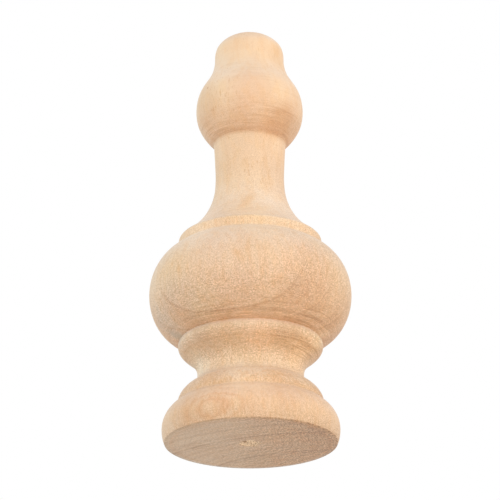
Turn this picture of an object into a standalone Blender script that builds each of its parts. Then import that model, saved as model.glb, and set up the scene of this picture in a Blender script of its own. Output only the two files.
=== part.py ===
"""Turned baluster finial: one piece of pale raw wood, shaped on a lathe and left unfinished.

Metres, +Z up, origin at the centre of the flat foot face that the finial stands on.
The outline is a stack of turned members, named below from the foot to the knob. Each member has a
height and radii of its own, so a change to one carries everything above it along.
"""
import math

import bmesh
import bpy

MM = 0.001

# Shallow dimple that the lathe's centre leaves in the middle of the foot face
CENTRE_MARK_RADIUS = 2.2 * MM
CENTRE_MARK_DEPTH = 0.8 * MM

# Foot: a fat round moulding, widest a little above the face
FACE_RADIUS = 21.25 * MM
FOOT_RADIUS = 21.95 * MM
FOOT_LOWER_HEIGHT = 3.4 * MM
FOOT_LOWER_SWEEP = math.radians(40)
FOOT_UPPER_HEIGHT = 6.4 * MM
FOOT_UPPER_SWEEP = math.radians(59)

# Collar: a quarter round that springs from the crease on top of the foot
COLLAR_RADIUS = 18.15 * MM
COLLAR_TOP_RADIUS = 13.95 * MM
COLLAR_HEIGHT = 5.45 * MM
COLLAR_SWEEP = math.radians(50)

# Cove: the hollow waist between the collar and the bead
COVE_RADIUS = 13.2 * MM
COVE_LOWER_HEIGHT = 2.2 * MM
COVE_LOWER_SWEEP = math.radians(34)
COVE_UPPER_HEIGHT = 7.55 * MM
COVE_PULL = 0.6
BEAD_PULL = 0.39

# Bead: a narrow round rim that ends the cove, under the belly
BEAD_RADIUS = 18.1 * MM
BEAD_TOP_RADIUS = 17.2 * MM
BEAD_TOP_HEIGHT = 1.45 * MM
BEAD_TOP_SWEEP = math.radians(82)

# Belly: the widest member
BELLY_RADIUS = 25.4 * MM
BELLY_LOWER_HEIGHT = 12.05 * MM
BELLY_LOWER_SWEEP = math.radians(81)
BELLY_UPPER_HEIGHT = 12.15 * MM
BELLY_UPPER_SWEEP = math.radians(71)

# Band: a short upright fillet that ends the belly
BAND_RADIUS = 18.1 * MM
BAND_HEIGHT = 2.7 * MM

# Neck: flares in from the band's upper edge and opens a little under the bulb
NECK_RADIUS = 8.8 * MM
NECK_FLARE_HEIGHT = 16.15 * MM
NECK_FLARE_SWEEP = math.radians(57.5)
NECK_TOP_RADIUS = 9.25 * MM
NECK_TOP_HEIGHT = 10.7 * MM
NECK_TOP_SWEEP = math.radians(11)

# Bulb: a ball whose upper side runs into the knob in one long ogee
BULB_RADIUS = 13.8 * MM
BULB_LOWER_HEIGHT = 8.9 * MM
BULB_LOWER_SWEEP = math.radians(28)
BULB_TO_KNOB_HEIGHT = 17.3 * MM
BULB_PULL = 0.51
WAIST_PULL = 0.6

# Knob: the small rounded end
KNOB_RADIUS = 8.85 * MM
KNOB_DOME_HEIGHT = 5.25 * MM
KNOB_DOME_PULL = 0.37
KNOB_DOME_FLAT = 0.59

# Facets
SIDES = 48
DEGREES_PER_STEP = 11
OGEE_STEPS = 8
DOME_STEPS = 6
SHARP_ANGLE = math.radians(25)

WOOD_COLOUR = (0.84, 0.62, 0.40, 1.0)
WOOD_ROUGHNESS = 0.62


class Outline:
    """The turned outline as (radius, height) points, drawn from the foot upwards."""

    def __init__(self, radius, height):
        self.points = [(radius, height)]

    def line(self, radius, rise):
        height = self.points[-1][1]
        self.points.append((radius, height + rise))

    def arc_from_upright(self, radius, rise, sweep):
        """Leave the last point upright and curve away to the new radius, rising by rise."""
        start_radius, start_height = self.points[-1]
        for angle in steps(0.0, sweep):
            share = (1 - math.cos(angle)) / (1 - math.cos(sweep))
            height = start_height + rise * math.sin(angle) / math.sin(sweep)
            self.points.append((start_radius + (radius - start_radius) * share, height))

    def arc_to_upright(self, radius, rise, sweep):
        """Curve from the last point to the new radius and arrive there upright."""
        start_radius, start_height = self.points[-1]
        for angle in steps(sweep, 0.0):
            share = (1 - math.cos(angle)) / (1 - math.cos(sweep))
            height = start_height + rise * (1 - math.sin(angle) / math.sin(sweep))
            self.points.append((radius + (start_radius - radius) * share, height))

    def ogee(self, radius, rise, lower_pull, upper_pull):
        """S-curve, upright at both ends; each pull is the share of the rise that it stays upright for."""
        start_radius, start_height = self.points[-1]
        top = start_height + rise
        handles = (start_radius, start_height + lower_pull * rise), (radius, top - upper_pull * rise)
        self.curve(handles[0], handles[1], (radius, top), OGEE_STEPS)

    def dome(self, rise, side_pull, flat_share):
        """Close the outline on the axis with a round top that is level in its middle."""
        radius, height = self.points[-1]
        top = height + rise
        self.curve((radius, height + side_pull * rise), (flat_share * radius, top), (0.0, top), DOME_STEPS)

    def curve(self, first_handle, second_handle, end, count):
        start = self.points[-1]
        for step in range(1, count + 1):
            t = step / count
            weights = (1 - t) ** 3, 3 * (1 - t) ** 2 * t, 3 * (1 - t) * t ** 2, t ** 3
            corners = start, first_handle, second_handle, end
            radius = sum(weight * corner[0] for weight, corner in zip(weights, corners))
            height = sum(weight * corner[1] for weight, corner in zip(weights, corners))
            self.points.append((radius, height))


def steps(start, end):
    """The angles after start, up to and with end, close enough for a smooth facet."""
    count = max(2, math.ceil(math.degrees(abs(end - start)) / DEGREES_PER_STEP))
    return [start + (end - start) * step / count for step in range(1, count + 1)]


def finial_outline():
    outline = Outline(0.0, CENTRE_MARK_DEPTH)
    outline.line(CENTRE_MARK_RADIUS, -CENTRE_MARK_DEPTH)
    outline.line(FACE_RADIUS, 0.0)
    outline.arc_to_upright(FOOT_RADIUS, FOOT_LOWER_HEIGHT, FOOT_LOWER_SWEEP)
    outline.arc_from_upright(COLLAR_RADIUS, FOOT_UPPER_HEIGHT, FOOT_UPPER_SWEEP)
    outline.arc_from_upright(COLLAR_TOP_RADIUS, COLLAR_HEIGHT, COLLAR_SWEEP)
    outline.arc_to_upright(COVE_RADIUS, COVE_LOWER_HEIGHT, COVE_LOWER_SWEEP)
    outline.ogee(BEAD_RADIUS, COVE_UPPER_HEIGHT, COVE_PULL, BEAD_PULL)
    outline.arc_from_upright(BEAD_TOP_RADIUS, BEAD_TOP_HEIGHT, BEAD_TOP_SWEEP)
    outline.arc_to_upright(BELLY_RADIUS, BELLY_LOWER_HEIGHT, BELLY_LOWER_SWEEP)
    outline.arc_from_upright(BAND_RADIUS, BELLY_UPPER_HEIGHT, BELLY_UPPER_SWEEP)
    outline.line(BAND_RADIUS, BAND_HEIGHT)
    outline.arc_to_upright(NECK_RADIUS, NECK_FLARE_HEIGHT, NECK_FLARE_SWEEP)
    outline.arc_from_upright(NECK_TOP_RADIUS, NECK_TOP_HEIGHT, NECK_TOP_SWEEP)
    outline.arc_to_upright(BULB_RADIUS, BULB_LOWER_HEIGHT, BULB_LOWER_SWEEP)
    outline.ogee(KNOB_RADIUS, BULB_TO_KNOB_HEIGHT, BULB_PULL, WAIST_PULL)
    outline.dome(KNOB_DOME_HEIGHT, KNOB_DOME_PULL, KNOB_DOME_FLAT)
    return outline.points


def turn(name, outline):
    """Turn an outline, given from the foot up, about the Z axis into one closed solid."""
    mesh = bpy.data.meshes.new(name)
    profile = bmesh.new()
    corners = [profile.verts.new((radius, 0.0, height)) for radius, height in reversed(outline)]
    for upper, lower in zip(corners, corners[1:]):
        profile.edges.new((upper, lower))
    bmesh.ops.spin(
        profile, geom=profile.verts[:] + profile.edges[:], cent=(0, 0, 0), axis=(0, 0, 1),
        angle=math.tau, steps=SIDES, use_merge=True)
    bmesh.ops.remove_doubles(profile, verts=profile.verts[:], dist=0.001 * MM)
    bmesh.ops.recalc_face_normals(profile, faces=profile.faces[:])
    profile.to_mesh(mesh)
    profile.free()
    mesh.shade_smooth()
    mesh.set_sharp_from_angle(angle=SHARP_ANGLE)
    turned = bpy.data.objects.new(name, mesh)
    bpy.context.scene.collection.objects.link(turned)
    return turned


def raw_wood():
    wood = bpy.data.materials.new("raw_wood")
    wood.use_nodes = True
    shader = wood.node_tree.nodes["Principled BSDF"]
    shader.inputs["Base Color"].default_value = WOOD_COLOUR
    shader.inputs["Roughness"].default_value = WOOD_ROUGHNESS
    shader.inputs["Metallic"].default_value = 0.0
    return wood


def main():
    for old in list(bpy.data.objects):
        bpy.data.objects.remove(old)
    finial = turn("finial", finial_outline())
    finial.data.materials.append(raw_wood())


main()
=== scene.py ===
"""Turned baluster finial in pale raw wood: its finely turned surface, grain, light and view."""
import math

import bpy
import numpy as np
from mathutils import Matrix, Vector, noise


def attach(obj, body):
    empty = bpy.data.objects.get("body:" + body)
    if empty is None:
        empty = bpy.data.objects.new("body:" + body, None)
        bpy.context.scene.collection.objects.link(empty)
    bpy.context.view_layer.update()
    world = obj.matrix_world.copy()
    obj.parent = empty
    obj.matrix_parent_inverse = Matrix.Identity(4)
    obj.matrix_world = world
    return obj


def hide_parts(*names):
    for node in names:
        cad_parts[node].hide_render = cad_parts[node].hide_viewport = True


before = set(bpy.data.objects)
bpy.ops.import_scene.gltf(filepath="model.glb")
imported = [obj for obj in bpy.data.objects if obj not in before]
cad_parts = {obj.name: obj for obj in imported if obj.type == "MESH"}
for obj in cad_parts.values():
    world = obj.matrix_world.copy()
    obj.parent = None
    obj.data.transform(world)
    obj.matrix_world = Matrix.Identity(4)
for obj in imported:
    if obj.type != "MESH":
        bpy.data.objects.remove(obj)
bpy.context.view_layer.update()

MM = 0.001

# The photograph: a square frame, seen from below the foot
FRAME_PX = 500
SENSOR_MM = 36.0
FOCAL_PX = 2260.0
CAMERA_DISTANCE = 572.5 * MM
CAMERA_ELEVATION = math.radians(-21.95)
AIM_HEIGHT = 51.16 * MM
CAMERA_ROLL = math.radians(0.26)
CENTRE_OFFSET_PX = 0.17
CLIP_START = 10 * MM

# Light from all around: its grey from below, from level with the finial and from above
WORLD_GREYS = (0.825, 0.72, 0.755)

# Square lamps: name, place, aim and side in metres, watts and colour
LAMPS = [
    ("key", (0.04, -0.42, 0.09), (0, 0, 0.06), 0.4, 0.74, (1.0, 0.99, 0.98)),
    ("left_rim", (-0.75, 0.25, 0.06), (0, 0, 0.05), 0.8, 2.2, (0.55, 0.83, 1.0)),
    ("right_rim", (0.75, 0.0, 0.04), (0, 0, 0.04), 0.7, 2.0, (1.0, 0.96, 0.92)),
]

# Floor
FLOOR_REACH = 1.2
FLOOR_HEIGHT = -0.2 * MM
FLOOR_FINISH = {
    "Base Color": (0.93, 0.93, 0.92, 1),
    "Roughness": 0.9,
    "Emission Color": (1, 1, 1, 1),
    "Emission Strength": 0.15,
}

# Fineness of the turned surface, with lengths in mm
SIDES = 144
OUTLINE_STEP = 0.3
CREASE = math.radians(18)
CREASE_SOFTNESS = 0.16
FACE_RINGS = 14

# Torn mark of the lathe's centre in the foot face, in mm, with the fine rings of the mesh about it
MARK_RADIUS = 2.75
MARK_DEPTH = 0.75
MARK_CENTRE = (-0.25, -0.25)
MARK_RINGS = 44
MARK_RINGS_REACH = 1.5 * MARK_RADIUS

# The mark's edge: how ragged and how soft it is, as shares of its radius
MARK_RAGGED = 0.28
MARK_SOFT_EDGE = 0.30

# The mark's tufts, in waves to the mm across X and Y, and the pit to one side of its centre
EDGE_WAVES = (0.9, 0.9)
TUFT_WAVES = (2.6, 2.1)
FINE_TUFT_WAVES = (6.0, 5.0)
PIT_OFFSET = (-1.40, 0.0)
PIT_SPREAD = (0.35, 0.8)

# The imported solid's own shallow mark lies below this height and within this share of the face, in mm
CAD_MARK_HEIGHT = 2.0
CAD_MARK_SHARE = 0.5

# Fine grooves that the turning tool left: height on the outline, depth and width, in mm
GROOVES = [
    (27.70, 0.05, 0.40),
    (28.60, 0.03, 0.40),
    (24.05, 0.03, 0.45),
    (23.10, 0.02, 0.40),
    (80.65, 0.04, 0.30),
    (81.45, 0.04, 0.30),
    (82.25, 0.03, 0.35),
]

# How clearly the tool's rings show on an upright surface, and how much more facing down or up
MARKS_UPRIGHT = 0.13
MARKS_DOWN = 1.1
MARKS_DOWN_POWER = 1.3
MARKS_UP = 0.35

# Wood: its colours, its finish, and the depth of its relief in mm
UPRIGHT_COLOUR = (0.94, 0.702, 0.483, 1)
# Paler, bluer colour where the surface faces up: a painted sheen, the grazing reflection of the pale
# surroundings
UP_FACING_PAINTED_SHEEN_COLOUR = (0.93, 0.736, 0.568, 1)
# Redder, darker colour where the surface faces down: painted warm shade, the bounced light under the members
DOWN_FACING_PAINTED_SHADE_COLOUR = (0.95, 0.638, 0.416, 1)
FACE_COLOUR = (0.736, 0.53, 0.354, 1)
TORN_COLOUR = (0.97, 0.70, 0.45, 1)
TORN_SHADE_COLOUR = (0.42, 0.26, 0.14, 1)
WOOD_FINISH = {
    "Roughness": 0.58,
    "IOR": 1.45,
    "Sheen Weight": 0.18,
    "Sheen Roughness": 0.35,
}
FIBRE_RELIEF = 0.015
RIDGE_RELIEF = 0.020

# The lean of the fibres, and the pith: its X and Y in mm at the foot, and how far it leans for each mm up
GRAIN_LEAN = 0.10
PITH_AT_FOOT = (18.70, 40.19)
PITH_LEAN = (-0.188, 0.059)

# Growth rings: radius about the pith in mm and strength, for each part of the piece that shows them
BACK_RINGS = [(20.5, 0.5), (24.0, 0.8), (27.4, 0.5), (31.0, 0.7)]
FRONT_RINGS = [
    (34.75, 0.9), (38.5, 0.4), (42.0, 0.4), (50.0, 0.9), (52.5, 0.5), (58.4, 0.5), (64.3, 0.7),
]
FOOT_RINGS = [(65.3, 0.8), (65.95, 1.0)]
FACE_RINGS_AT = [(34.6, 1.0), (38.7, 0.35), (43.0, 0.4), (49.6, 1.0), (52.5, 0.5), (57.5, 0.4)]

# The line of one growth ring: distance from its radius in mm, and share of its strength
RING_PROFILE = [(-0.30, 0.25), (-0.05, 1.0), (0.25, 0.0)]

# Plain wood inside the first ring and outside the last one, in mm
PLAIN_INSIDE = 3.0
PLAIN_OUTSIDE = 1.5

# How clearly the growth rings show: height in mm and share
RING_CLARITY = [
    (0.0, 0.25), (10.0, 0.25), (20.0, 0.4), (27.0, 1.0), (33.0, 1.0), (41.0, 0.25), (112.0, 0.25),
]

# What each layer of the wood's colour, and of its painted light and shade, multiplies the colour by
SHADES = {
    "painted shade under bulb": (0.88, 0.86, 0.85),
    "upper half": (0.97, 0.95, 0.915),
    "warm areas": (0.975, 0.945, 0.915),
    "pale areas": (1.0, 1.015, 1.035),
    "growth rings": (0.76, 0.65, 0.55),
    "foot rings": (0.93, 0.83, 0.75),
    "face rings": (0.72, 0.65, 0.59),
    "face bands": (0.91, 0.88, 0.86),
    "coarse streaks": (0.98, 0.94, 0.90),
    "clouds": (1.0, 0.973, 0.92),
    "long fibres": (0.95, 0.935, 0.915),
    "between fibres": (1.06, 1.062, 1.06),
    "short fibres": (0.54, 0.48, 0.385),
    "vessels": (0.90, 0.83, 0.76),
    "pale dots": (1.03, 1.045, 1.065),
    "ridge hollows": (0.82, 0.75, 0.67),
    "ridge crests": (1.07, 1.10, 1.13),
    "low members": (0.95, 0.95, 0.95),
    "low edge": (0.94, 0.95, 0.96),
    "foot and collar": (1.0, 0.93, 0.868),
    "collar fibres": (0.95, 0.89, 0.82),
    "band fibres": (0.99, 0.96, 0.92),
    "red side of face": (1.08, 0.97, 0.87),
    "face speckle": (0.47, 0.415, 0.355),
    "face arcs": (0.88, 0.85, 0.82),
    "face rim": (0.97, 0.88, 0.79),
    "face blotches": (0.99, 0.93, 0.88),
    "creases": (0.86, 0.79, 0.70),
    "pit": (0.45, 0.34, 0.26),
}

# Layers about the foot: name of the shade, and the heights in mm where each begins and is full
FOOT_LAYERS = [
    ("low members", 17.0, 12.0),
    ("low edge", 5.5, 1.0),
    ("foot and collar", 15.5, 11.0),
]

# Members with reddish fibres: name of the shade, and the member's lowest and highest mm
RED_FIBRES = [
    ("collar fibres", 9.8, 15.0),
    ("band fibres", 50.6, 53.2),
]

# Soft patches of another tone, partly the wood's own and partly painted light and shade (a bluish painted
# reflection along the left side, painted fill light in the cove, painted shade on the neck and under the
# bulb's right side): centre, radius in mm, and the shade that each multiplies by
KNOB_AND_BULB_TONES_AND_PAINTED_SHADE = [
    ((0, -7, 109), 8, (0.98, 0.94, 0.90)),
    ((8, -5, 103), 6, (0.93, 0.88, 0.81)),
    ((-11, -8, 98), 6, (1.05, 1.05, 1.05)),
    ((0, -13.8, 90.5), 8.5, (0.96, 0.90, 0.89)),
    ((-11, -8, 89), 8, (0.92, 0.87, 0.81)),
    ((12, -7, 88.5), 7, (0.95, 0.93, 0.93)),
    # Partly painted shade under the bulb's right side
    ((8, -8, 84), 6.5, (0.87, 0.79, 0.70)),
    ((11.5, -4, 83.5), 5, (0.92, 0.93, 0.94)),
    ((5, -9, 81), 4.5, (1.0, 0.96, 0.92)),
]
NECK_TONES_AND_PAINTED_LIGHT = [
    # Painted shade on the front of the neck
    ((0, -9, 74), 12, (0.95, 0.93, 0.92)),
    # This patch and the next: painted shade on the neck's sides
    ((-8, -4, 71), 7, (0.96, 0.95, 0.94)),
    ((8, -5, 69), 9, (0.92, 0.92, 0.95)),
    ((0, -15, 56), 9, (1.04, 1.01, 0.95)),
    ((-12, -9, 56), 6, (1.08, 1.09, 1.11)),
]
BELLY_TONES_AND_PAINTED_LIGHT = [
    ((1, -17, 49), 9, (1.03, 1.06, 1.06)),
    ((-13, -14, 48), 10, (1.06, 1.09, 1.12)),
    ((-1, -25, 42), 7, (1.0, 0.975, 0.93)),
    ((-19, -15, 40), 9, (0.97, 0.945, 0.88)),
    ((13, -21, 38), 13, (0.955, 0.88, 0.855)),
    ((-6, -24, 38), 15, (0.96, 0.93, 0.95)),
    ((10, -21, 33.5), 4, (0.99, 1.03, 1.08)),
    ((-18, -16, 33), 9, (0.95, 0.99, 1.07)),
    ((-11.4, -20.5, 30), 7, (1.0, 1.07, 1.11)),
    # Bluish painted reflection on the belly's left side
    ((-21, -6, 28.5), 8, (0.93, 1.03, 1.18)),
    ((-13, -16, 28), 5, (1.0, 1.04, 1.06)),
]
BEAD_AND_COVE_TONES_AND_PAINTED_LIGHT = [
    ((-2, -19.4, 27.4), 3, (1.06, 1.07, 1.08)),
    ((18.2, -3.5, 27.2), 3.5, (1.07, 1.13, 1.17)),
    ((-17.8, -3.5, 27.2), 3.5, (0.86, 0.96, 1.05)),
    ((-12.5, -13, 25.5), 5, (0.93, 0.92, 0.91)),
    ((10, -15, 25.5), 4, (0.985, 0.96, 0.94)),
    ((17, -6, 24.5), 5, (1.08, 1.13, 1.12)),
    ((9.5, -13, 22.5), 6, (0.97, 0.95, 0.92)),
    # Painted fill light in the front of the cove
    ((2, -16, 22.3), 6, (1.14, 1.13, 1.15)),
    ((-13, -11, 21), 9, (0.97, 0.99, 1.03)),
    # Painted fill light on the cove's right side
    ((14, -9, 20.8), 7, (1.14, 1.13, 1.08)),
    ((0, -13.5, 17.3), 5, (0.95, 0.94, 0.92)),
    # Painted bluish rim light on the cove's left side
    ((-13, -5, 17), 7, (1.05, 1.11, 1.17)),
]
COLLAR_AND_FOOT_TONES = [
    ((13, -10, 13), 7, (1.03, 1.06, 1.06)),
    ((-10, -13.7, 12.7), 3.5, (1.0, 0.94, 0.86)),
    ((6.3, -16, 12.7), 3.5, (1.0, 0.95, 0.88)),
    ((0, -16, 12), 9, (1.06, 1.10, 1.13)),
    ((-2, -18, 9), 8, (1.04, 1.04, 1.04)),
    ((9, -20, 6.3), 7.5, (0.94, 0.885, 0.85)),
    ((20, -8, 6), 5, (1.0, 1.02, 1.05)),
    ((-7, -19.8, 5.2), 5.5, (1.0, 0.955, 0.93)),
    ((-16, -14, 4.5), 10.5, (0.925, 0.895, 0.865)),
    ((2, -21, 2), 6, (1.04, 1.04, 1.05)),
]
FACE_TONES = [
    ((7, -7, 0), 10, (1.07, 1.075, 1.06)),
    ((1, 12, 0), 9, (0.96, 0.96, 0.94)),
    ((0, 0, 0), 8, (1.03, 1.04, 1.05)),
]
TONES_AND_PAINTED_LIGHT = (
    KNOB_AND_BULB_TONES_AND_PAINTED_SHADE + NECK_TONES_AND_PAINTED_LIGHT + BELLY_TONES_AND_PAINTED_LIGHT + BEAD_AND_COVE_TONES_AND_PAINTED_LIGHT + COLLAR_AND_FOOT_TONES
    + FACE_TONES)

# Marks: centre, direction, half length and half width in mm, and the shade that each multiplies by
STAINS = [
    ((-0.6, -11.4, 59.9), (3.5, 3.3, 5.6), 4.8, 2.1, (0.955, 0.87, 0.75)),
    ((-3.4, -25.0, 40.6), (0, 0, 1), 1.8, 1.4, (0.98, 0.93, 0.86)),
    ((-17.5, -18.4, 38.9), (0, 0, 1), 1.8, 1.4, (0.97, 0.93, 0.86)),
    ((-10.7, -8.0, 92.9), (0, 0, 1), 0.5, 0.4, (0.75, 0.62, 0.50)),
    ((-7.0, 10.2, 0.0), (1, 0, 0), 0.4, 0.4, (0.55, 0.45, 0.38)),
]

# Lines that the turning tool left, and soft bands of painted light and shade at the bead and the cove:
# height and half width in mm, and the shade of each
TOOL_LINES_AND_PAINTED_LIGHT = [
    (27.75, 0.28, (0.96, 0.94, 0.92)),
    # Painted highlight along the crease above the bead
    (27.3, 0.16, (1.10, 1.11, 1.12)),
    # Painted fill light in the crease between the belly and the bead
    (26.9, 0.55, (1.08, 1.09, 1.11)),
    # Painted shade that dims the bead's highlight
    (25.2, 0.80, (0.955, 0.955, 0.955)),
    (28.7, 0.20, (1.06, 1.07, 1.08)),
    (22.6, 0.25, (0.93, 0.89, 0.84)),
    # This band and the next: painted fill light in the cove below the bead
    (21.8, 2.00, (1.03, 1.02, 0.99)),
    (19.0, 2.50, (1.05, 1.055, 1.06)),
    (23.3, 0.20, (1.05, 1.06, 1.07)),
    (53.45, 0.7, (0.95, 0.95, 0.95)),
]

# Creases between members: height and reach in mm, and how clearly painted shade darkens them
CREASES = [
    (9.8, 0.7, 0.35),
    (15.25, 0.8, 0.45),
    (50.65, 0.5, 0.12),
    (80.2, 0.8, 0.65),
]


# Outline

def cad_outline(node):
    """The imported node's outline in mm, as (radius, height) points from the foot face's edge to the top."""
    tiny = 1e-6
    found = set()
    for vertex in node.data.vertices:
        x, y, z = vertex.co
        if abs(y) < tiny and x > -tiny:
            found.add((round(x / MM, 3), round(z / MM, 3)))
    face_edge = max(point for point in found if abs(point[1]) < tiny)
    side = []
    for radius, height in found:
        in_mark = radius < CAD_MARK_SHARE * face_edge[0] and height < CAD_MARK_HEIGHT
        if height > tiny and not in_mark:
            side.append((radius, height))
    side.sort(key=lambda point: point[1])
    return np.array([face_edge] + side)


def members(points):
    """Splits an outline at its creases, so that each run is one smooth curve."""
    runs, start = [], 0
    for i in range(1, len(points) - 1):
        before, after = points[i] - points[i - 1], points[i + 1] - points[i]
        turned = math.atan2(before[0] * after[1] - before[1] * after[0], before @ after)
        if abs(turned) > CREASE:
            runs.append(points[start:i + 1])
            start = i
    runs.append(points[start:])
    return runs


def distances(points):
    """How far each point lies along the line through all of them."""
    return np.concatenate([[0], np.cumsum(np.hypot(*np.diff(points, axis=0).T))])


def smooth_run(points):
    """Points every OUTLINE_STEP along a smooth curve through the given points."""
    chord = distances(points)
    count = max(2, math.ceil(chord[-1] / OUTLINE_STEP))
    wanted = np.linspace(0, chord[-1], count + 1)
    if len(points) < 3:
        return np.column_stack([np.interp(wanted, chord, points[:, k]) for k in (0, 1)])
    slope = np.gradient(points, chord, axis=0, edge_order=2)
    i = np.clip(np.searchsorted(chord, wanted, side="right") - 1, 0, len(chord) - 2)
    span = chord[i + 1] - chord[i]
    t = ((wanted - chord[i]) / span)[:, None]
    span = span[:, None]
    return (
        (2 * t**3 - 3 * t**2 + 1) * points[i] + (t**3 - 2 * t**2 + t) * span * slope[i]
        + (3 * t**2 - 2 * t**3) * points[i + 1] + (t**3 - t**2) * span * slope[i + 1])


def fine_outline(node):
    """The outline in fine steps, smooth within each member and slightly rounded at the creases."""
    runs = [smooth_run(run) for run in members(cad_outline(node))]
    line = np.concatenate([runs[0]] + [run[1:] for run in runs[1:]])
    return soften(line, CREASE_SOFTNESS)


def soften(line, reach):
    """Rounds the creases of an outline by about reach, and leaves its two ends where they are."""
    share = 0.25
    for _ in range(max(1, round(2 * (reach / OUTLINE_STEP) ** 2 / share))):
        inner = line[1:-1] + share * (line[:-2] + line[2:] - 2 * line[1:-1])
        line = np.concatenate([line[:1], inner, line[-1:]])
    return line


def outline_normals(line):
    """Unit vectors that point out of the wood, as (radius, height)."""
    along = np.gradient(line, axis=0)
    along /= np.hypot(along[:, 0], along[:, 1])[:, None]
    return np.column_stack([along[:, 1], -along[:, 0]])


def tool_mark_strength(normals):
    """How clearly the tool's rings show: most where the outline cuts across the grain, facing down."""
    facing_down = np.clip(-normals[:, 1], 0, 1)
    facing_up = np.clip(normals[:, 1], 0, 1)
    down = MARKS_DOWN * facing_down ** MARKS_DOWN_POWER
    return np.clip(MARKS_UPRIGHT + down + MARKS_UP * facing_up, 0, 1)


def crease_shade(line):
    """How much painted shade each point gets in a crease between two members."""
    shade = np.zeros(len(line))
    for height, reach, strength in CREASES:
        shade = np.maximum(shade, strength * np.exp(-((line[:, 1] - height) / reach) ** 2))
    return shade


def grooved(line, normals):
    """The outline with the tool's few clear grooves cut into it."""
    depth = np.zeros(len(line))
    for height, deep, wide in GROOVES:
        depth += deep * np.exp(-((line[:, 1] - height) / (0.5 * wide)) ** 2)
    return line - normals * depth[:, None]


# Foot face

def face_radii(edge_radius):
    """Radii of the rings across the foot face, close together in the centre mark."""
    inner = np.linspace(0, MARK_RINGS_REACH, MARK_RINGS + 1)[1:]
    outer = np.linspace(inner[-1], edge_radius, FACE_RINGS + 1)[1:-1]
    return np.concatenate([inner, outer])


def torn_mark_at(x, y):
    """How deep the centre mark reaches into the wood at a point in mm, and how torn it is, from 0 to 1."""
    u, v = x - MARK_CENTRE[0], y - MARK_CENTRE[1]

    def tufts_of(waves, layer):
        return noise.noise(Vector((u * waves[0], v * waves[1], layer)))

    reach = math.hypot(u / MARK_RADIUS, v / MARK_RADIUS) + MARK_RAGGED * tufts_of(EDGE_WAVES, 3.7)
    torn = smooth_step((1.0 - reach) / MARK_SOFT_EDGE)
    tufts = 0.5 + 0.5 * tufts_of(TUFT_WAVES, 11.0) + 0.30 * tufts_of(FINE_TUFT_WAVES, 5.0)
    from_pit = (u - PIT_OFFSET[0]) ** 2 / PIT_SPREAD[0] + (v - PIT_OFFSET[1]) ** 2 / PIT_SPREAD[1]
    depth = torn * MARK_DEPTH * (0.75 - 0.70 * tufts + math.exp(-from_pit))
    return max(0.0, depth), torn


def smooth_step(t):
    t = min(1.0, max(0.0, t))
    return t * t * (3 - 2 * t)


# Mesh

def turned_piece(name, node):
    """One closed mesh of the whole finial, with the measures that its material reads."""
    line = fine_outline(node)
    normals = outline_normals(line)
    marks, creases = tool_mark_strength(normals), crease_shade(line)
    length = distances(line)
    line = grooved(line, normals)
    corners = []
    measures = {label: [] for label in ("outline_mm", "tool_marks", "foot_face", "torn", "crease")}

    def add_corner(x, y, z, **values):
        corners.append((x, y, z))
        for label, column in measures.items():
            column.append(values.get(label, 0.0))

    depth, torn = torn_mark_at(0.0, 0.0)
    add_corner(0.0, 0.0, depth, foot_face=1.0, torn=torn)
    for radius in face_radii(line[0, 0]):
        for x, y in circle(radius):
            depth, torn = torn_mark_at(x, y)
            add_corner(x, y, depth, outline_mm=-radius, foot_face=1.0, torn=torn)
    for (radius, height), mark, dip, reach in zip(line[:-1], marks, creases, length):
        on_face = 1.0 if reach == 0 else 0.0
        for x, y in circle(radius):
            add_corner(x, y, height, outline_mm=reach, tool_marks=mark, crease=dip, foot_face=on_face)
    add_corner(0.0, 0.0, line[-1, 1], outline_mm=length[-1], tool_marks=marks[-1])

    mesh = bpy.data.meshes.new(name)
    mesh.from_pydata((np.array(corners) * MM).tolist(), [], ring_faces(len(corners)))
    for label, values in measures.items():
        mesh.attributes.new(label, "FLOAT", "POINT").data.foreach_set("value", values)
    mesh.shade_smooth()
    mesh.update()
    piece = bpy.data.objects.new(name, mesh)
    bpy.context.scene.collection.objects.link(piece)
    return piece


def circle(radius):
    """The corners of one ring, as (x, y) points."""
    angles = [k * math.tau / SIDES for k in range(SIDES)]
    return [(radius * math.cos(angle), radius * math.sin(angle)) for angle in angles]


def ring_faces(corner_count):
    """Faces that join rings of SIDES corners, and close them at the first and the last corner."""
    faces = [(0, 1 + (k + 1) % SIDES, 1 + k) for k in range(SIDES)]
    last, top = corner_count - 1 - SIDES, corner_count - 1
    for low in range(1, last, SIDES):
        high = low + SIDES
        for k in range(SIDES):
            n = (k + 1) % SIDES
            faces.append((low + k, low + n, high + n, high + k))
    faces += [(last + k, last + (k + 1) % SIDES, top) for k in range(SIDES)]
    return faces


# Nodes

def grey(share):
    return share, share, share, 1


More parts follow.
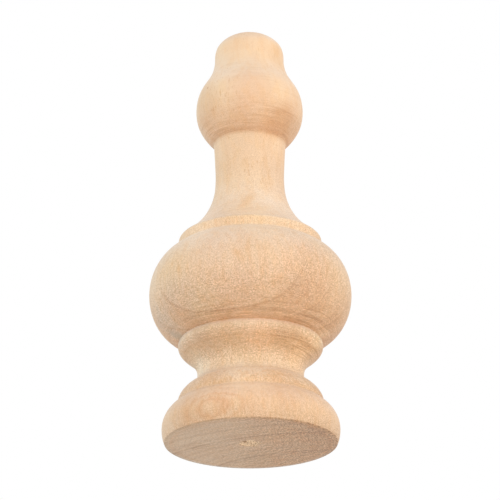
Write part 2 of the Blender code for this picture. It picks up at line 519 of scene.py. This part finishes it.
class Nodes:
    """Short calls that add nodes to a material or a world and return their output sockets."""

    def __init__(self, owner):
        owner.use_nodes = True
        self.owner = owner
        self.tree = owner.node_tree
        self.shader = self.tree.nodes.get("Principled BSDF")

    def add(self, kind, **settings):
        node = self.tree.nodes.new(kind)
        for key, value in settings.items():
            setattr(node, key, value)
        return node

    def feed(self, socket, value):
        if isinstance(value, bpy.types.NodeSocket):
            self.tree.links.new(value, socket)
        else:
            socket.default_value = value

    def feed_all(self, node, *values):
        for socket, value in zip(node.inputs, values):
            self.feed(socket, value)

    def finish(self, values):
        """Sets constant values on the material's shader."""
        for name, value in values.items():
            self.shader.inputs[name].default_value = value

    def maths(self, operation, a, b=0.0, c=0.0):
        node = self.add("ShaderNodeMath", operation=operation)
        self.feed_all(node, a, b, c)
        return node.outputs[0]

    def times(self, value, *others):
        for other in others:
            value = self.maths("MULTIPLY", value, other)
        return value

    def vector(self, operation, a, b=(0, 0, 0), c=(0, 0, 0)):
        node = self.add("ShaderNodeVectorMath", operation=operation)
        self.feed_all(node, a, b, c)
        gives_number = operation in ("LENGTH", "DOT_PRODUCT", "DISTANCE")
        return node.outputs["Value" if gives_number else "Vector"]

    def split(self, coordinates):
        node = self.add("ShaderNodeSeparateXYZ")
        self.feed_all(node, coordinates)
        return node.outputs[0], node.outputs[1], node.outputs[2]

    def join(self, x, y, z=0.0):
        node = self.add("ShaderNodeCombineXYZ")
        self.feed_all(node, x, y, z)
        return node.outputs[0]

    def smooth(self, value, low, high, to_low=0.0, to_high=1.0):
        node = self.add("ShaderNodeMapRange", interpolation_type="SMOOTHSTEP")
        self.feed_all(node, value, low, high, to_low, to_high)
        return node.outputs[0]

    def ramp(self, value, stops):
        """A share that runs straight from stop to stop, each given as (value, share)."""
        lowest, highest = stops[0][0], stops[-1][0]
        span = highest - lowest
        node = self.add("ShaderNodeValToRGB")
        self.feed(node.inputs[0], self.maths("DIVIDE", self.maths("SUBTRACT", value, lowest), span))
        elements = node.color_ramp.elements
        elements[0].color, elements[1].color = grey(stops[0][1]), grey(stops[-1][1])
        for at, share in stops[1:-1]:
            elements.new((at - lowest) / span).color = grey(share)
        return node.outputs[0]

    def noise(self, dimensions, coordinates, scale, detail, roughness):
        node = self.add("ShaderNodeTexNoise", noise_dimensions=dimensions)
        self.feed(node.inputs["W" if dimensions == "1D" else "Vector"], coordinates)
        for key, value in (("Scale", scale), ("Detail", detail), ("Roughness", roughness)):
            node.inputs[key].default_value = value
        return node.outputs[0]

    def pattern(self, place, waves, offset=(0, 0, 0), detail=1.0, roughness=0.5):
        """Noise with so many waves to the millimetre along each axis."""
        return self.noise("3D", self.vector("MULTIPLY_ADD", place, waves, offset), 1.0, detail, roughness)

    def stripes(self, distance, waves, detail=1.0, roughness=0.5):
        """Noise along one distance, with so many waves to the millimetre."""
        return self.noise("1D", distance, waves, detail, roughness)

    def swing(self, pattern, width):
        """Turns noise into a shift of up to half the width either way."""
        return self.maths("MULTIPLY_ADD", pattern, width, -width / 2)

    def blend(self, share, a, b, kind="MIX"):
        node = self.add("ShaderNodeMix", data_type="RGBA", blend_type=kind)
        self.feed(node.inputs["Factor"], share)
        self.feed(node.inputs["A"], a)
        self.feed(node.inputs["B"], b)
        return node.outputs["Result"]

    def tint(self, share, colour, shade):
        """Multiplies a colour by shade, as far as share says."""
        return self.blend(share, colour, (*shade, 1), "MULTIPLY")

    def relief(self, height, depth_mm, under=None):
        node = self.add("ShaderNodeBump")
        self.feed(node.inputs["Height"], height)
        node.inputs["Distance"].default_value = depth_mm * MM
        if under:
            self.feed(node.inputs["Normal"], under)
        return node.outputs[0]

    def attribute(self, name):
        return self.add("ShaderNodeAttribute", attribute_name=name).outputs["Fac"]


class Wood(Nodes):
    """The wood's nodes, with the places in mm, directions and measures that its layers read."""

    def __init__(self, name):
        super().__init__(bpy.data.materials.new(name))
        self.place = self.vector("SCALE", self.add("ShaderNodeTexCoord").outputs["Object"])
        self.place.node.inputs["Scale"].default_value = 1 / MM
        self.x, self.y, self.z = self.split(self.place)
        leaning_x = self.maths("MULTIPLY_ADD", self.z, GRAIN_LEAN, self.x)
        self.along_grain = self.join(leaning_x, self.y, self.z)
        normal = self.add("ShaderNodeNewGeometry").outputs["Normal"]
        self.facing_up = self.vector("DOT_PRODUCT", normal, (0, 0, 1))
        self.facing_down = self.smooth(self.facing_up, 0.20, -0.80)
        self.outline = self.attribute("outline_mm")
        self.face = self.attribute("foot_face")
        self.side = self.maths("SUBTRACT", 1.0, self.face)


# Material

def raw_wood():
    """Pale turned wood: growth rings, fibres, flecks, tool rings and the marks that the photograph shows."""
    wood = Wood("raw_wood_turned")
    colour = base_tones(wood)
    colour = broad_tones(wood, colour)
    colour = growth_rings(wood, colour)
    colour, fibres = fibre_streaks(wood, colour)
    colour = flecks(wood, colour)
    colour, ridges = tool_rings(wood, colour)
    colour = foot_tone(wood, colour)
    colour = face_tones(wood, colour)
    # Painted shade in the creases between members
    colour = wood.tint(wood.attribute("crease"), colour, SHADES["creases"])
    colour = red_fibres(wood, colour)
    colour = tone_and_painted_light_patches(wood, colour)
    colour = stains(wood, colour)
    colour = torn_mark(wood, colour)

    wood.finish(WOOD_FINISH)
    wood.feed(wood.shader.inputs["Base Color"], colour)
    grain = wood.relief(fibres, FIBRE_RELIEF)
    wood.feed(wood.shader.inputs["Normal"], wood.relief(ridges, RIDGE_RELIEF, grain))
    return wood.owner


def base_tones(wood):
    """The bare wood, darker on the sawn foot face; paler facing up with a painted sheen, and redder facing
    down and darker under the bulb with painted shade.
    """
    # Painted sheen: paler and bluer where the surface faces up
    colour = wood.blend(wood.smooth(wood.facing_up, 0.0, 0.60), UPRIGHT_COLOUR, UP_FACING_PAINTED_SHEEN_COLOUR)
    # Painted warm shade where the surface faces down, full above the bead and weaker below it
    under = wood.times(wood.facing_down, wood.smooth(wood.z, 20.0, 27.0, 0.35, 1.0))
    colour = wood.blend(under, colour, DOWN_FACING_PAINTED_SHADE_COLOUR)
    # Painted shade under the bulb, where the surface faces down
    under_bulb = wood.times(wood.facing_down, wood.smooth(wood.z, 74.0, 80.0))
    colour = wood.tint(under_bulb, colour, SHADES["painted shade under bulb"])
    colour = wood.tint(wood.smooth(wood.z, 60.0, 74.0), colour, SHADES["upper half"])
    return wood.blend(wood.face, colour, FACE_COLOUR)


def broad_tones(wood, colour):
    """Slow changes of tone over the piece: paler and warmer areas, longer than they are wide."""
    warm = wood.pattern(wood.place, (0.085, 0.085, 0.035), detail=2.0)
    colour = wood.tint(wood.smooth(warm, 0.40, 0.64), colour, SHADES["warm areas"])
    pale = wood.pattern(wood.place, (0.07, 0.07, 0.05), (7.3, 1.9, 4.4))
    return wood.tint(wood.smooth(pale, 0.45, 0.65), colour, SHADES["pale areas"])


def growth_rings(wood, colour):
    """Thin darker lines on upright cylinders about a pith that lies behind the piece and leans."""
    from_pith = []
    for position, at_foot, lean in zip((wood.x, wood.y), PITH_AT_FOOT, PITH_LEAN):
        pith = wood.maths("MULTIPLY_ADD", wood.z, lean, at_foot)
        from_pith.append(wood.maths("SUBTRACT", position, pith))
    radius = wood.vector("LENGTH", wood.join(*from_pith))
    sway = wood.pattern(wood.place, (0.12, 0.12, 0.03))
    shake = wood.pattern(wood.place, (0.9, 0.9, 0.15), detail=2.0)
    radius = wood.maths("ADD", radius, wood.swing(sway, 0.9))
    radius = wood.maths("ADD", radius, wood.swing(shake, 0.5))

    bands = wood.stripes(radius, 0.75, detail=3.0, roughness=0.65)
    colour = wood.tint(wood.times(wood.smooth(bands, 0.42, 0.64), wood.face), colour, SHADES["face bands"])
    broken = wood.smooth(wood.pattern(wood.place, (0.16, 0.16, 0.16)), 0.36, 0.56, 0.35, 1.0)
    across_face = wood.times(ring_lines(wood, radius, FACE_RINGS_AT, 2.4), wood.face, broken)
    colour = wood.tint(across_face, colour, SHADES["face rings"])
    on_foot = wood.times(ring_lines(wood, radius, FOOT_RINGS), wood.smooth(wood.z, 10.0, 7.0))
    colour = wood.tint(on_foot, colour, SHADES["foot rings"])
    lines = wood.maths("ADD", ring_lines(wood, radius, FRONT_RINGS), ring_lines(wood, radius, BACK_RINGS))
    return wood.tint(wood.times(lines, wood.ramp(wood.z, RING_CLARITY)), colour, SHADES["growth rings"])


def ring_lines(wood, radius, rings, widening=1.0):
    """Each growth ring darkens slowly outwards and ends in a thin line."""
    stops = [(rings[0][0] - PLAIN_INSIDE, 0.0)]
    for at, strength in rings:
        stops += [(at + widening * distance, strength * share) for distance, share in RING_PROFILE]
    stops.append((rings[-1][0] + PLAIN_OUTSIDE, 0.0))
    return wood.ramp(radius, stops)


def fibre_streaks(wood, colour):
    """Fine streaks along the fibres, which turn to dots where the surface cuts across them."""
    coarse = wood.pattern(wood.along_grain, (0.9, 0.9, 0.05), detail=2.0, roughness=0.6)
    streaks = wood.times(wood.smooth(coarse, 0.46, 0.66), wood.smooth(wood.z, 60.0, 52.0, 0.6, 1.0))
    colour = wood.tint(streaks, colour, SHADES["coarse streaks"])
    clouds = wood.pattern(wood.along_grain, (0.65, 0.65, 0.30), (3.1, 8.2, 0.7), detail=2.0)
    colour = wood.tint(wood.smooth(clouds, 0.42, 0.66), colour, SHADES["clouds"])
    strength = grain_strength(wood)
    long = wood.pattern(wood.along_grain, (5.0, 5.0, 0.9))
    colour = wood.tint(wood.times(wood.smooth(long, 0.36, 0.64), strength), colour, SHADES["long fibres"])
    short = wood.pattern(wood.along_grain, (9.5, 9.5, 4.0), (5.5, 0.3, 2.9), detail=0.0)
    colour = wood.tint(strength, colour, SHADES["between fibres"])
    colour = wood.tint(wood.times(wood.smooth(short, 0.34, 0.66), strength), colour, SHADES["short fibres"])
    return colour, wood.maths("MULTIPLY_ADD", long, 0.5, wood.times(short, -0.5))


def grain_strength(wood):
    """How clearly the fine grain shows: little on the smooth knob, most where the cut faces down."""
    low = wood.smooth(wood.z, 102.0, 20.0, 0.15, 0.85)
    above_foot = wood.smooth(wood.z, 11.0, 8.0, 1.0, 0.55)
    right = wood.smooth(wood.x, 4.0, 18.0, 1.0, 1.55)
    down = wood.maths("MULTIPLY_ADD", wood.facing_down, 0.85, 0.85)
    return wood.times(low, above_foot, right, down, wood.side)


def flecks(wood, colour):
    """Short dark vessel lines on the sides, and pale raised dots where the cut faces down."""
    vessels = wood.pattern(wood.along_grain, (2.8, 2.8, 0.55), detail=0.0)
    where = wood.pattern(wood.along_grain, (0.11, 0.11, 0.09), (2.2, 5.1, 9.4))
    share = wood.times(wood.smooth(vessels, 0.66, 0.80), wood.smooth(where, 0.42, 0.62))
    colour = wood.tint(share, colour, SHADES["vessels"])
    dots = wood.pattern(wood.along_grain, (1.5, 1.5, 0.9))
    down = wood.maths("MULTIPLY_ADD", wood.facing_down, 0.9, 0.1)
    return wood.tint(wood.times(wood.smooth(dots, 0.58, 0.76), down), colour, SHADES["pale dots"])


def tool_rings(wood, colour):
    """Fine rings and lines that the turning tool left, stronger where it cut across the grain, with bands of
    painted light and shade at the bead and the cove.
    """
    patchy = wood.pattern(wood.place, (0.09, 0.09, 0.14), (1.2, 6.6, 3.0))
    shown = wood.smooth(patchy, 0.36, 0.62, 0.25, 1.0)
    right = wood.smooth(wood.x, 0.0, 14.0, 0.75, 1.25)
    under_bulb = wood.times(wood.smooth(wood.z, 76.0, 81.0), wood.smooth(wood.z, 91.0, 84.0))
    more = wood.maths("MULTIPLY_ADD", under_bulb, 0.3, 1.0)
    strength = wood.times(wood.attribute("tool_marks"), shown, right, more)
    around = wood.join(wood.times(wood.x, 0.10), wood.times(wood.y, 0.10), wood.outline)
    wide = wood.pattern(around, (0.8, 0.8, 0.9))
    close = wood.pattern(around, (1.6, 1.6, 3.7), (4.1, 0.6, 7.7))
    ridges = wood.maths("ADD", wood.times(wide, 0.2), wood.times(close, 0.8))
    dark = wood.times(wood.smooth(ridges, 0.44, 0.64), strength)
    colour = wood.tint(dark, colour, SHADES["ridge hollows"])
    light = wood.times(wood.smooth(ridges, 0.47, 0.32), strength)
    colour = wood.tint(light, colour, SHADES["ridge crests"])
    unbroken = wood.smooth(patchy, 0.30, 0.50, 0.3, 1.0)
    # Tool lines, and bands of painted light and shade at the bead and the cove
    for height, half_width, shade in TOOL_LINES_AND_PAINTED_LIGHT:
        near = wood.maths("ABSOLUTE", wood.maths("SUBTRACT", wood.z, height))
        line = wood.times(wood.smooth(near, half_width, 0.2 * half_width), unbroken)
        colour = wood.tint(line, colour, shade)
    return colour, wood.times(ridges, strength)


def foot_tone(wood, colour):
    """Darker a little towards the foot, and redder on the side of the foot."""
    for label, begins, full in FOOT_LAYERS:
        share = wood.times(wood.smooth(wood.z, begins, full), wood.side)
        colour = wood.tint(share, colour, SHADES[label])
    return colour


def face_tones(wood, colour):
    """The sawn foot face: greyer end grain with a rough speckle, redder and darker to one side."""
    right = wood.smooth(wood.x, -14.0, 15.0)
    colour = wood.tint(wood.times(right, wood.face), colour, SHADES["red side of face"])
    slanted = wood.join(wood.maths("MULTIPLY_ADD", wood.y, -0.42, wood.x), wood.y)
    speckle = wood.pattern(slanted, (3.2, 1.15, 1.0), detail=2.0, roughness=0.65)
    rougher = wood.maths("MULTIPLY_ADD", right, 0.60, 0.42)
    rough = wood.times(wood.smooth(speckle, 0.39, 0.61), rougher, wood.face)
    colour = wood.tint(rough, colour, SHADES["face speckle"])
    clearer = wood.maths("MULTIPLY_ADD", right, 0.6, 0.4)
    arcs = wood.times(wood.smooth(wood.stripes(wood.outline, 2.3), 0.44, 0.60), clearer, wood.face)
    colour = wood.tint(arcs, colour, SHADES["face arcs"])
    rim = wood.times(wood.smooth(wood.outline, -18.2, -21.0), wood.face)
    colour = wood.tint(rim, colour, SHADES["face rim"])
    blotches = wood.pattern(wood.place, (0.22, 0.22, 0.22), detail=2.0)
    share = wood.times(wood.smooth(blotches, 0.45, 0.65), right, wood.face)
    return wood.tint(share, colour, SHADES["face blotches"])


def red_fibres(wood, colour):
    """Short reddish fibres on the collar and on the band, where the cut is fresh."""
    fibres = wood.pattern(wood.along_grain, (1.5, 1.5, 0.45), detail=2.0, roughness=0.6)
    fibres = wood.smooth(fibres, 0.46, 0.62)
    for label, low, high in RED_FIBRES:
        above = wood.smooth(wood.z, low, low + 1.0)
        below = wood.smooth(wood.z, high, high - 1.0)
        colour = wood.tint(wood.times(fibres, above, below), colour, SHADES[label])
    return colour


def tone_and_painted_light_patches(wood, colour):
    """Soft patches of another tone, partly the wood's own and partly painted light and shade, each strongest
    in its middle.
    """
    # Each patch multiplies the colour: some by the wood's own tone, some by painted light and shade
    for centre, radius, shade in TONES_AND_PAINTED_LIGHT:
        reach = wood.vector("DISTANCE", wood.place, centre)
        colour = wood.tint(wood.smooth(reach, radius, 0.2 * radius), colour, shade)
    return colour


def stains(wood, colour):
    """The few marks on the piece: a smear on the flare, two warm spots and two dark specks."""
    wobble = wood.swing(wood.pattern(wood.place, (0.7, 0.7, 0.7), detail=2.0), 0.5)
    for centre, along, length, width, shade in STAINS:
        direction = Vector(along).normalized()
        away = wood.vector("SUBTRACT", wood.place, centre)
        far = wood.maths("DIVIDE", wood.vector("DOT_PRODUCT", away, direction), length)
        aside = wood.vector("LENGTH", wood.vector("CROSS_PRODUCT", away, direction))
        beside = wood.maths("DIVIDE", aside, width)
        reach = wood.maths("ADD", wood.vector("LENGTH", wood.join(far, beside)), wobble)
        colour = wood.tint(wood.smooth(reach, 1.0, 0.15), colour, shade)
    return colour


def torn_mark(wood, colour):
    """Pale torn fibres in the lathe's centre mark, with painted shadow in the dark gaps between them and in
    a pit to one side.
    """
    shreds = wood.pattern(wood.place, (2.6, 3.6, 2.6), detail=2.0, roughness=0.7)
    # Painted shadow in the dark gaps between the torn fibres
    fibres = wood.blend(wood.smooth(shreds, 0.41, 0.52), TORN_SHADE_COLOUR, TORN_COLOUR)
    colour = wood.blend(wood.smooth(wood.attribute("torn"), 0.15, 0.55), colour, fibres)
    # Painted shadow in the pit to one side of the centre
    pit = (MARK_CENTRE[0] + PIT_OFFSET[0], MARK_CENTRE[1] + PIT_OFFSET[1], 0.4)
    away = wood.vector("DISTANCE", wood.place, pit)
    return wood.tint(wood.smooth(away, 1.0, 0.45), colour, SHADES["pit"])


# Studio

def add_camera():
    """The photograph's view: a long lens that looks up at the finial from below its foot."""
    lens = bpy.data.cameras.new("camera")
    lens.sensor_width = SENSOR_MM
    lens.lens = FOCAL_PX / FRAME_PX * SENSOR_MM
    lens.shift_x = -CENTRE_OFFSET_PX / FRAME_PX
    lens.clip_start = CLIP_START
    camera = bpy.data.objects.new("camera", lens)
    bpy.context.scene.collection.objects.link(camera)
    ahead = Vector((0, math.cos(CAMERA_ELEVATION), -math.sin(CAMERA_ELEVATION)))
    camera.location = Vector((0, 0, AIM_HEIGHT)) - ahead * CAMERA_DISTANCE
    turn = ahead.to_track_quat("-Z", "Y").to_matrix().to_4x4() @ Matrix.Rotation(-CAMERA_ROLL, 4, "Z")
    camera.rotation_euler = turn.to_euler()
    bpy.context.scene.camera = camera


def add_lamp(lit, name, place, aim, side, watts, colour):
    """A soft lamp that lights only the objects in lit, and so leaves the floor even."""
    lamp = bpy.data.lights.new(name, "AREA")
    lamp.shape = "SQUARE"
    lamp.size = side
    lamp.energy = watts
    lamp.color = colour
    light = bpy.data.objects.new(name, lamp)
    light.location = place
    light.rotation_euler = (Vector(aim) - Vector(place)).to_track_quat("-Z", "Y").to_euler()
    light.light_linking.receiver_collection = lit
    bpy.context.scene.collection.objects.link(light)


def add_world(below, level, above):
    """White to the camera; for light, a soft gradient of greys from below to above."""
    world = bpy.data.worlds.new("studio")
    bpy.context.scene.world = world
    sky = Nodes(world)
    direction = sky.add("ShaderNodeTexCoord").outputs["Generated"]
    light = sky.ramp(sky.split(direction)[2], [(-1.0, below), (0.0, level), (1.0, above)])
    seen = sky.add("ShaderNodeLightPath").outputs["Is Camera Ray"]
    sky.feed(sky.tree.nodes["Background"].inputs["Color"], sky.blend(seen, light, (1, 1, 1, 1)))


def add_floor():
    """A pale floor that shows from above and lets the view and the light through from below."""
    mesh = bpy.data.meshes.new("floor")
    corners = [(-1, -1), (1, -1), (1, 1), (-1, 1)]
    corners = [(x * FLOOR_REACH, y * FLOOR_REACH, FLOOR_HEIGHT) for x, y in corners]
    mesh.from_pydata(corners, [], [(0, 1, 2, 3)])
    floor = bpy.data.objects.new("floor", mesh)
    bpy.context.scene.collection.objects.link(floor)
    pale = Nodes(bpy.data.materials.new("pale_floor"))
    pale.finish(FLOOR_FINISH)
    from_above = pale.maths("SUBTRACT", 1.0, pale.add("ShaderNodeNewGeometry").outputs["Backfacing"])
    seen = pale.add("ShaderNodeLightPath").outputs["Is Camera Ray"]
    clear = pale.add("ShaderNodeBsdfTransparent").outputs[0]
    mixed = pale.add("ShaderNodeMixShader")
    pale.feed_all(mixed, pale.times(from_above, seen), clear, pale.shader.outputs[0])
    pale.feed(pale.tree.nodes["Material Output"].inputs["Surface"], mixed.outputs[0])
    mesh.materials.append(pale.owner)


# The scene

lit_by_lamps = bpy.data.collections.new("lit_by_lamps")
add_camera()
add_world(*WORLD_GREYS)
for lamp in LAMPS:
    add_lamp(lit_by_lamps, *lamp)
add_floor()

finial = turned_piece("finial_turned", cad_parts["finial"])
finial.data.materials.append(raw_wood())
lit_by_lamps.objects.link(finial)
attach(finial, "root")
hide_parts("finial")

bpy.context.scene.view_settings.view_transform = "Standard"
